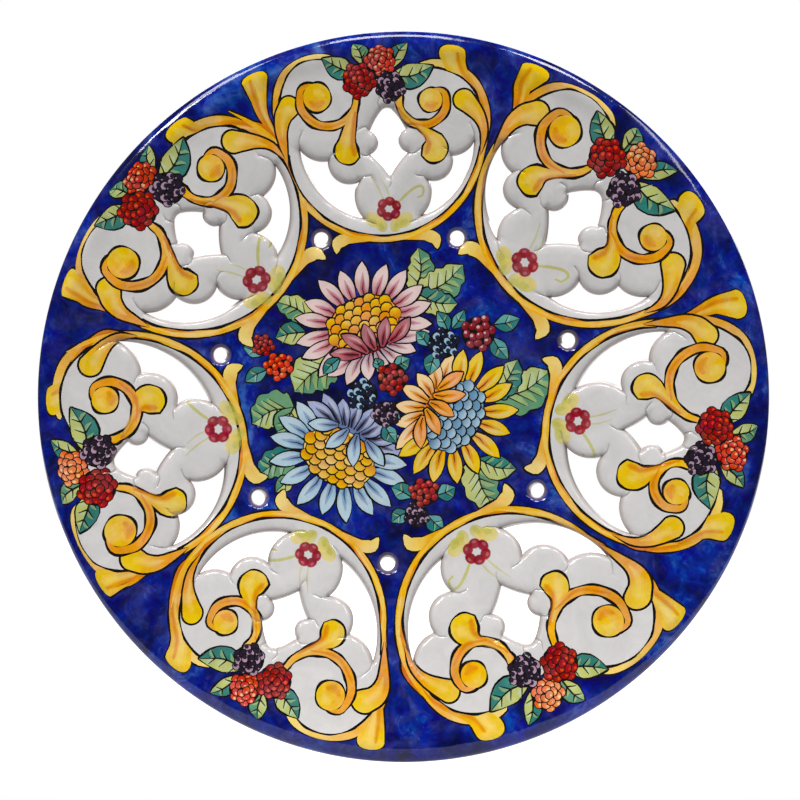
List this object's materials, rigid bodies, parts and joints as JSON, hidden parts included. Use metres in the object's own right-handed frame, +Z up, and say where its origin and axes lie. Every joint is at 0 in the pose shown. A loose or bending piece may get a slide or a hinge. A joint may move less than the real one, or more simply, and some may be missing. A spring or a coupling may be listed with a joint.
{
  "type": "decorative wall plate",
  "caption": "Round pierced wall plate of glazed clay: a shallow dish with a rounded lip, hand-cut openwork round its flange, painted scrolls, fruit and flowers, and a foot ring behind.",
  "frame": {"origin": "on the wall plane, at the top of the foot ring's flat face, midway across the plate", "axes": "+Z up as it hangs, -Y out of the painted face toward the viewer, +Y into the wall, +X to the viewer's right"},
  "size_m": [0.38, 0.0399, 0.38],
  "materials": {
    "glaze": "glossy tin glaze with painted decoration"
  },
  "bodies": {
    "root": {"pierced_plate": "glaze"}
  },
  "joints": []
}
